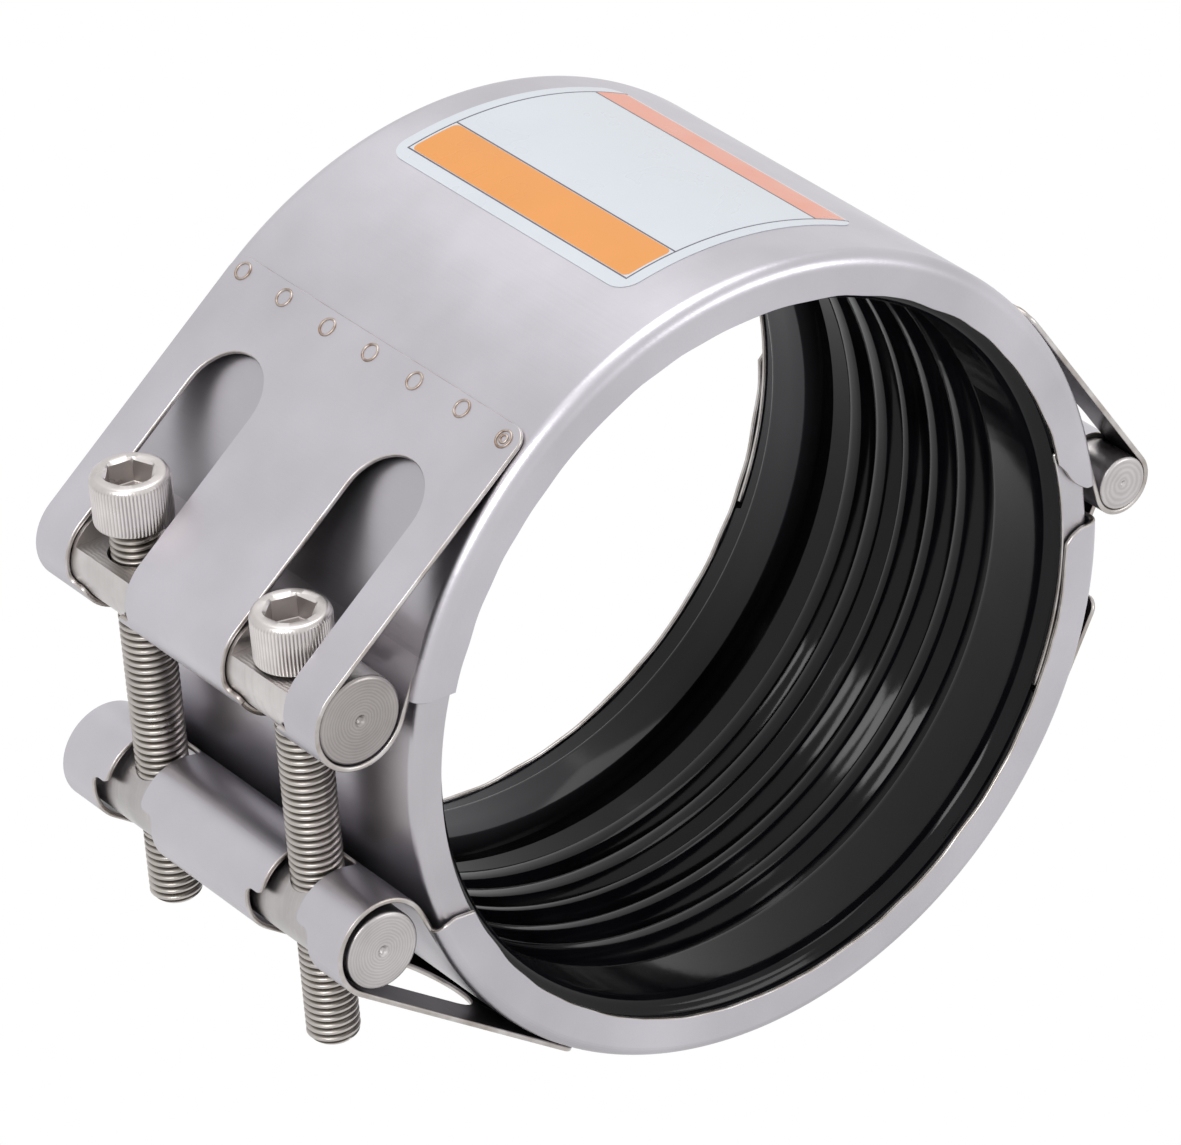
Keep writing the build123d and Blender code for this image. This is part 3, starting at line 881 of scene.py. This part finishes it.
def head_mesh():
    """Socket head with a straight knurl round its side and a hexagon socket."""
    around = KNURL_TEETH * POINTS_PER_TOOTH
    side = [(0.0, -0.5, 0), (0.35, 0.0, 0), (0.9, 0.0, 1), (10.4, 0.0, 1)]
    side += [(11.0, -0.12, 0), (11.6, -0.45, 0), (11.9, -0.9, 0), (12.0, -1.3, 0)]
    points, shades = [], []
    for z, inset, knurl in side:
        for j in range(around):
            phase = (j % POINTS_PER_TOOTH) / POINTS_PER_TOOTH
            groove = KNURL_DEPTH * (0.5 - 0.5 * math.cos(2 * math.pi * phase)) ** 2 if knurl else 0.0
            r = HEAD_RADIUS + inset - groove - (0.12 if not knurl else 0.0)
            turn = 2 * math.pi * j / around
            points.append(round_point(r, turn, z))
            # Painted shade: knurl grooves and the plain rows by the chamfers are darkened.
            shades.append((1.0 if knurl else 0.68) - groove / KNURL_DEPTH * 0.45)
    # Painted shade on the head's top and down into the socket, in the last number of each row.
    inner = [(12.0, 1.16, 0.0, 0.66), (11.85, 1.08, 0.3, 0.8), (11.45, 1.0, 1.0, 0.8)]
    inner += [(6.2, 1.0, 1.0, 0.55), (6.0, 0.96, 1.0, 0.4)]
    mouth = SOCKET_HALF / math.cos(math.pi / 6) * 1.04
    for z, share, hexness, shade in inner:
        for j in range(around):
            turn = 2 * math.pi * j / around
            local = (turn + math.pi / 6) % (math.pi / 3) - math.pi / 6
            flat = SOCKET_HALF / math.cos(local)
            r = (flat * hexness + mouth * (1 - hexness)) * (share if hexness == 1.0 else 1.0)
            points.append(round_point(r, turn, z))
            shades.append(shade)
    count = len(side) + len(inner)
    faces = []
    for i in range(count - 1):
        for j in range(around):
            k = (j + 1) % around
            faces.append([i * around + j, i * around + k, (i + 1) * around + k, (i + 1) * around + j])
    points.append((0, 0, 5.2 * MM))
    # Painted shade at the bottom of the socket.
    shades.append(0.5)
    tip = len(points) - 1
    for j in range(around):
        faces.append([(count - 1) * around + j, (count - 1) * around + (j + 1) % around, tip])
    faces.append(list(range(around - 1, -1, -1)))
    mesh = mesh_of("head", points, faces)
    paint(mesh, "depth", shades)
    smooth_by_angle(mesh, 34)
    return mesh


def socket_bolt(name, y, lift, spin):
    """Socket head bolt: thread and head as two pieces on one body."""
    seat = Matrix.Translation((BAR_X * MM, y * MM, (BAR_Z + SEAT_HEIGHT + lift) * MM))
    base = seat @ Matrix.Rotation(math.radians(spin), 4, "Z")
    new_piece(name + "_head", placed(head_mesh(), base), name, [head_steel], [name])
    new_piece(name + "_thread", placed(thread_mesh(), base), name, [thread_steel], [name])


socket_bolt("front_bolt", -BOLT_Y, 0.7, 12)
socket_bolt("rear_bolt", BOLT_Y, 8.1, 20)


# Spot welds


def weld_tree():
    """Geometry nodes: a row of ring marks, given its count, length and ring size."""
    tree = bpy.data.node_groups.new("spot_weld_row", "GeometryNodeTree")
    for name, kind, default in (
        ("Weld Count", "Int", 7),
        ("Row Length", "Float", 0.096),
        ("Ring Radius", "Float", 0.0020),
        ("Bead Radius", "Float", 0.00032),
        ("Uneven", "Float", 0.0004),
        ("Weld Finish", "Material", None),
    ):
        socket = tree.interface.new_socket(name=name, in_out="INPUT", socket_type="NodeSocket" + kind)
        if default is not None:
            socket.default_value = default
    tree.interface.new_socket(name="Geometry", in_out="OUTPUT", socket_type="NodeSocketGeometry")
    given, out = add(tree, "NodeGroupInput").outputs, add(tree, "NodeGroupOutput")

    def joined(kind, sources, **values):
        """New node whose inputs come from other nodes' outputs."""
        node = add(tree, kind, **values)
        for socket, source in sources.items():
            tree.links.new(source, node.inputs[socket])
        return node

    half = joined("ShaderNodeMath", {0: given["Row Length"]}, operation="MULTIPLY")
    half.inputs[1].default_value = 0.5
    back = joined("ShaderNodeMath", {0: half.outputs[0]}, operation="MULTIPLY")
    back.inputs[1].default_value = -1.0
    start = joined("ShaderNodeCombineXYZ", {"X": back.outputs[0]})
    finish = joined("ShaderNodeCombineXYZ", {"X": half.outputs[0]})
    ends = {"Count": given["Weld Count"], "Start Location": start.outputs[0], "Offset": finish.outputs[0]}
    line = joined("GeometryNodeMeshLine", ends, mode="END_POINTS")
    scatter = add(tree, "FunctionNodeRandomValue", data_type="FLOAT_VECTOR", Seed=4)
    scatter.inputs[0].default_value, scatter.inputs[1].default_value = (-1, -1, 0), (1, 1, 0)
    spread = {0: scatter.outputs[0], "Scale": given["Uneven"]}
    amount = joined("ShaderNodeVectorMath", spread, operation="SCALE")
    moved = {"Geometry": line.outputs["Mesh"], "Offset": amount.outputs[0]}
    shift = joined("GeometryNodeSetPosition", moved)
    ring = joined("GeometryNodeCurvePrimitiveCircle", {"Radius": given["Ring Radius"]}, Resolution=28)
    bead = joined("GeometryNodeCurvePrimitiveCircle", {"Radius": given["Bead Radius"]}, Resolution=6)
    curves = {"Curve": ring.outputs["Curve"], "Profile Curve": bead.outputs["Curve"]}
    sweep = joined("GeometryNodeCurveToMesh", curves)
    spots = {"Points": shift.outputs["Geometry"], "Instance": sweep.outputs["Mesh"]}
    place = joined("GeometryNodeInstanceOnPoints", spots)
    real = joined("GeometryNodeRealizeInstances", {"Geometry": place.outputs["Instances"]})
    finished = {"Geometry": real.outputs["Geometry"], "Material": given["Weld Finish"]}
    tree.links.new(joined("GeometryNodeSetMaterial", finished).outputs["Geometry"], out.inputs["Geometry"])
    return tree


spot_welds = weld_tree()


def from_tree(tree, **values):
    """Plain mesh of a geometry tree with some inputs set."""
    carrier = new_object("carrier", bpy.data.meshes.new("carrier"))
    modifier = carrier.modifiers.new("nodes", "NODES")
    modifier.node_group = tree
    for item in tree.interface.items_tree:
        key = item.name.replace(" ", "_")
        if item.in_out == "INPUT" and key in values:
            modifier[item.identifier] = values[key]
    graph = bpy.context.evaluated_depsgraph_get()
    mesh = bpy.data.meshes.new_from_object(carrier.evaluated_get(graph))
    old = carrier.data
    bpy.data.objects.remove(carrier)
    bpy.data.meshes.remove(old)
    return mesh


def weld_row(name, angle, length, count, body, flip, ring=2.0, shift=0.0):
    """Row of spot welds on the welded end of a leg, at an angle round the casing."""
    sizes = {"Weld_Count": count, "Row_Length": length * MM, "Ring_Radius": ring * MM}
    mesh = from_tree(spot_welds, Weld_Finish=weld_steel, **sizes)
    mesh.transform(Matrix.Translation((shift * MM, 0, 0)))
    normal = at(1, angle)
    across, out = Vector((0, 1, 0)), Vector((normal.x, 0, normal.y))
    radius = (CASING_RADIUS + WELD_GAP + SHEET + 0.02) * MM
    turn = Matrix((across, out.cross(across), out)).transposed().to_4x4()
    mesh.transform(Matrix.Translation(out * radius) @ turn)
    if flip:
        mesh.transform(Matrix.Scale(-1, 4, (0, 0, 1)))
        mesh.flip_normals()
    mesh.shade_smooth()
    new_piece(name, mesh, body, [weld_steel])


WELD_ROW, WELD_TURN = 96.4, 0.2
upper_weld, lower_weld = upper_path.leg - WELD_TURN, lower_path.leg - WELD_TURN
hinge_weld = upper_path.pin_leg + WELD_TURN
weld_row("upper_bolt_side_welds", upper_weld, WELD_ROW, 7, "upper_half", False)
weld_row("upper_front_weld_middle", upper_weld, 0.0, 1, "upper_half", False, 0.95, -WELD_ROW / 2)
weld_row("lower_bolt_side_welds", lower_weld, WELD_ROW, 7, "lower_half", True)
weld_row("upper_hinge_side_welds", hinge_weld, WELD_ROW, 7, "upper_half", False)
weld_row("lower_hinge_side_welds", hinge_weld, WELD_ROW, 7, "lower_half", True)


# Rubber sleeve


def step(y0, r0, y1, r1, steps=4):
    """Smooth step of the rubber between two radii."""
    out = []
    for k in range(1, steps + 1):
        t = k / steps
        out.append((r0 + (r1 - r0) * (0.5 - 0.5 * math.cos(math.pi * t)), y0 + (y1 - y0) * t))
    return out


def sleeve_section(recessed):
    """Section of the rubber as (radius, y), from the front outside round the bore to the rear outside."""
    face, outer, relieved = 54.4, 93.9, 86.2
    if recessed:
        face, outer = 52.85, 91.55
    valley, groove = 87.1, 89.0
    bore = [
        (relieved, -face), (relieved, -52.7), (relieved - 0.3, -52.4), (84.7, -52.1), (83.8, -51.6),
        (83.2, -50.8), (82.85, -49.8), (82.7, -48.6), (82.67, -47.4), (82.9, -41), (83.2, -34),
        (83.3, -33.1), (83.5, -32.6), (84.2, -32.4),
    ]
    bore += step(-32.4, 84.2, -30.8, valley)
    for y, crest, width, slope in (
        (-20.7, 84.3, 3.8, 4.4),
        (-10.6, 84.35, 3.3, 4.4),
        (-0.6, 84.2, 2.4, 4.3),
        (8.3, 84.3, 4.4, 3.3),
        (18.3, 84.6, 4.0, 3.5),
    ):
        half = width / 2
        foot, fall = y - half - slope, valley - crest
        rise = ((0, 0), (0.08, 0.14), (0.5, 0.5), (0.92, 0.88))
        bore += [(valley - inwards * fall, foot + along * slope) for inwards, along in rise]
        bore += [(crest, y - half), (crest - 0.15, y - half / 3)]
        bore += [(crest - 0.12, y + half / 3), (crest, y + half)]
        bore += step(y + half + 0.1, crest, y + half + 2.0, valley)
    bore += [
        (86.9, 24.5), (86.6, 28.9), (87.0, 29.3), (groove, 29.5), (groove, 35.6), (84.4, 35.9),
        (83.9, 36.0), (83.75, 36.3), (83.3, 41), (82.7, 45.9), (82.65, 46.4), (82.8, 46.8),
        (83.1, 47.1), (relieved - 0.3, 49.0), (relieved, 49.3), (relieved, face),
    ]
    back = [(outer - 2.2, face), (outer - 0.7, face - 0.7), (outer, face - 2.2)]
    return [(r, -y) for r, y in reversed(back)] + bore + back


# Bearing below the hinge at which the painted sheen on the rear lip fades out, in degrees
DARK_BEARING = 55


def sleeve_mesh(stretches):
    """Rubber over several angle ranges: (start, end, recessed)."""
    shape = bmesh.new()
    rows = []
    for start, end, recessed in stretches:
        section = sleeve_section(recessed)
        count = max(1, round((end - start) / 2.0))
        for k in range(count + 1):
            angle = start + (end - start) * k / count
            row = []
            for r, y in section:
                point = at(r, angle)
                row.append(shape.verts.new((point.x * MM, y * MM, point.y * MM)))
            rows.append(row)
    size = len(rows[0])
    for first, second in zip(rows, rows[1:]):
        for i in range(size):
            j = (i + 1) % size
            shape.faces.new([first[i], second[i], second[j], first[j]])
    shape.faces.new(rows[0])
    shape.faces.new(list(reversed(rows[-1])))
    bmesh.ops.remove_doubles(shape, verts=shape.verts[:], dist=1e-6)
    bmesh.ops.recalc_face_normals(shape, faces=shape.faces[:])
    mesh = bpy.data.meshes.new("sleeve")
    shape.to_mesh(mesh)
    shape.free()
    # Painted sheen on the rear lip, fading out towards DARK_BEARING.
    amounts = []
    for vertex in mesh.vertices:
        bearing = math.degrees(math.atan2(vertex.co.z, vertex.co.x))
        rear = min(1.0, max(0.0, (vertex.co.y / MM - 35.7) / 0.5))
        amounts.append(rear * min(1.0, abs(bearing + DARK_BEARING) / 45) ** 1.5)
    paint(mesh, "dust", amounts)
    smooth_by_angle(mesh, 40)
    return mesh


mesh = sleeve_mesh([(20, 151, False), (151.4, 182.8, True)])
new_piece("sleeve_upper_part", mesh, "upper_half", [rubber], ["rubber_sleeve"])
lower_mesh = sleeve_mesh([(183.3, 209, True), (209.4, 330.6, False), (331, 372, True), (372.4, 380, False)])
lower_mesh.materials.append(rubber)
lower_sleeve = new_object("sleeve_lower_part", lower_mesh)
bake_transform(lower_sleeve)
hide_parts("rubber_sleeve")


# Label


def label_patch(name, corners, radii, height, material, nodes=()):
    """Thin film on the casing: corners as (angle, y), rounded, at a height over the steel."""
    radius = CASING_RADIUS + height / 2
    surface = new_surface()
    scale = math.radians(1) * radius
    outline = rounded([(a * scale, y) for a, y in corners], radii)
    low, high = min(p.x for p in outline), max(p.x for p in outline)
    count = max(1, round((high - low) / 2.0))
    cuts = [low + (high - low) * k / count for k in range(1, count)]
    flat_pattern(surface, [outline], cuts, lambda s: (at(radius, s / scale), at(1, s / scale)))
    new_piece(name, thicken(surface, height), "upper_half", [material, material], nodes)


def block(a0, a1, y0, y1):
    """Corners of a patch between two angles and two places along the pipe."""
    return [(a0, y0), (a1, y0), (a1, y1), (a0, y1)]


FILM_HEIGHT, BAND_HEIGHT, LINE_HEIGHT = 0.15, 0.18, 0.2
label_patch("label_film_sheet", block(62.2, 101.3, -39.6, 45.5), [5] * 4, FILM_HEIGHT, film_white, ["label"])
label_patch("label_orange_band", block(91.3, 98.9, -35.6, 41.7), [1.5] * 4, BAND_HEIGHT, film_orange)
label_patch("label_coral_band", block(62.6, 67.8, -36.4, 42.6), [0.8] * 4, BAND_HEIGHT, film_coral)
frame_lines = [(62.3, 99.2, -36.5, -36.2), (62.3, 99.2, 42.3, 42.6)]
frame_lines += [(angle, angle + 0.2, -36.2, 42.3) for angle in (91.0, 67.9, 99.0)]
for number, line in enumerate(frame_lines, 1):
    label_patch(f"label_line_{number}", block(*line), [0] * 4, LINE_HEIGHT, film_line)


# Camera, light and floor


def photo_camera():
    """Camera at the photograph's viewing angle, with its focal length in pixels of a frame 1181 wide."""
    azimuth, elevation, roll = (math.radians(v) for v in (34.6744, 32.0007, -4.6026))
    distance, focal, frame_width = 1.80177, 8123.24, 1181
    level = math.cos(elevation)
    forward = Vector((math.sin(azimuth) * level, math.cos(azimuth) * level, -math.sin(elevation)))
    right = Vector((math.cos(azimuth), -math.sin(azimuth), 0))
    up = right.cross(forward)
    right, up = right * math.cos(roll) + up * math.sin(roll), up * math.cos(roll) - right * math.sin(roll)
    camera = new_object("photo_camera", bpy.data.cameras.new("photo_camera"))
    camera.data.sensor_fit = "HORIZONTAL"
    camera.data.sensor_width = 36
    camera.data.lens = 36 * focal / frame_width
    camera.data.clip_start, camera.data.clip_end = 0.1, 50
    turn = Matrix((right, up, -forward)).transposed().to_4x4()
    aim = Vector((-5.2604, 0, -0.2864)) * MM
    camera.matrix_world = Matrix.Translation(aim - forward * distance) @ turn
    bpy.context.scene.camera = camera


def rays_that_see_it(tree):
    """One for the rays of the camera, of reflections and through glass, which all show the background."""
    rays = add(tree, "ShaderNodeLightPath")
    result = rays.outputs["Is Camera Ray"]
    for kind in ("Is Glossy Ray", "Is Transmission Ray"):
        either = add(tree, "ShaderNodeMath", operation="MAXIMUM")
        tree.links.new(result, either.inputs[0])
        tree.links.new(rays.outputs[kind], either.inputs[1])
        result = either.outputs[0]
    return result


def white_where_seen(tree, shade, strength, output):
    """Shows plain white to the camera and in reflections, and the given shade otherwise."""
    white = add(tree, "ShaderNodeEmission", Color=(1, 1, 1, 1), Strength=strength)
    mix = add(tree, "ShaderNodeMixShader")
    tree.links.new(rays_that_see_it(tree), mix.inputs["Fac"])
    tree.links.new(shade, mix.inputs[1])
    tree.links.new(white.outputs[0], mix.inputs[2])
    tree.links.new(mix.outputs[0], output)


def studio():
    """Pale floor, soft panels and an even surround."""
    half, level = 6.0, -95.6 * MM
    corners = [(-half, -half, level), (half, -half, level), (half, half, level), (-half, half, level)]
    floor = new_object("floor", mesh_of("floor", corners, [[0, 1, 2, 3]]))
    material, tree, shader = node_material("pale_floor", (0.9, 0.9, 0.9), 0.0, 0.8)
    out = tree.nodes["Material Output"]
    white_where_seen(tree, shader.outputs[0], 1.0, out.inputs["Surface"])
    floor.data.materials.append(material)
    world = bpy.context.scene.world or bpy.data.worlds.new("surround")
    bpy.context.scene.world = world
    world.use_nodes = True
    tree = world.node_tree
    tree.nodes.clear()
    dim = add(tree, "ShaderNodeBackground", Color=(1, 1, 1, 1), Strength=0.55)
    bright = add(tree, "ShaderNodeBackground", Color=(1, 1, 1, 1), Strength=1.0)
    mix, out = add(tree, "ShaderNodeMixShader"), add(tree, "ShaderNodeOutputWorld")
    tree.links.new(rays_that_see_it(tree), mix.inputs["Fac"])
    tree.links.new(dim.outputs[0], mix.inputs[1])
    tree.links.new(bright.outputs[0], mix.inputs[2])
    tree.links.new(mix.outputs[0], out.inputs["Surface"])
    for name, place, size, power in (
        ("key_panel", (-0.97, -0.43, 1.04), 0.62, 9.0),
        ("top_panel", (0.25, 0.2, 1.3), 1.0, 7.0),
        ("side_panel", (0.9, -1.3, 0.4), 0.6, 4.0),
    ):
        light = new_object(name, bpy.data.lights.new(name, "AREA"))
        light.data.shape, light.data.size, light.data.energy = "SQUARE", size, power
        turn = Vector(place).to_track_quat("Z", "Y").to_matrix().to_4x4()
        light.matrix_world = Matrix.Translation(place) @ turn


photo_camera()
studio()
bpy.context.scene.view_settings.view_transform = "Standard"
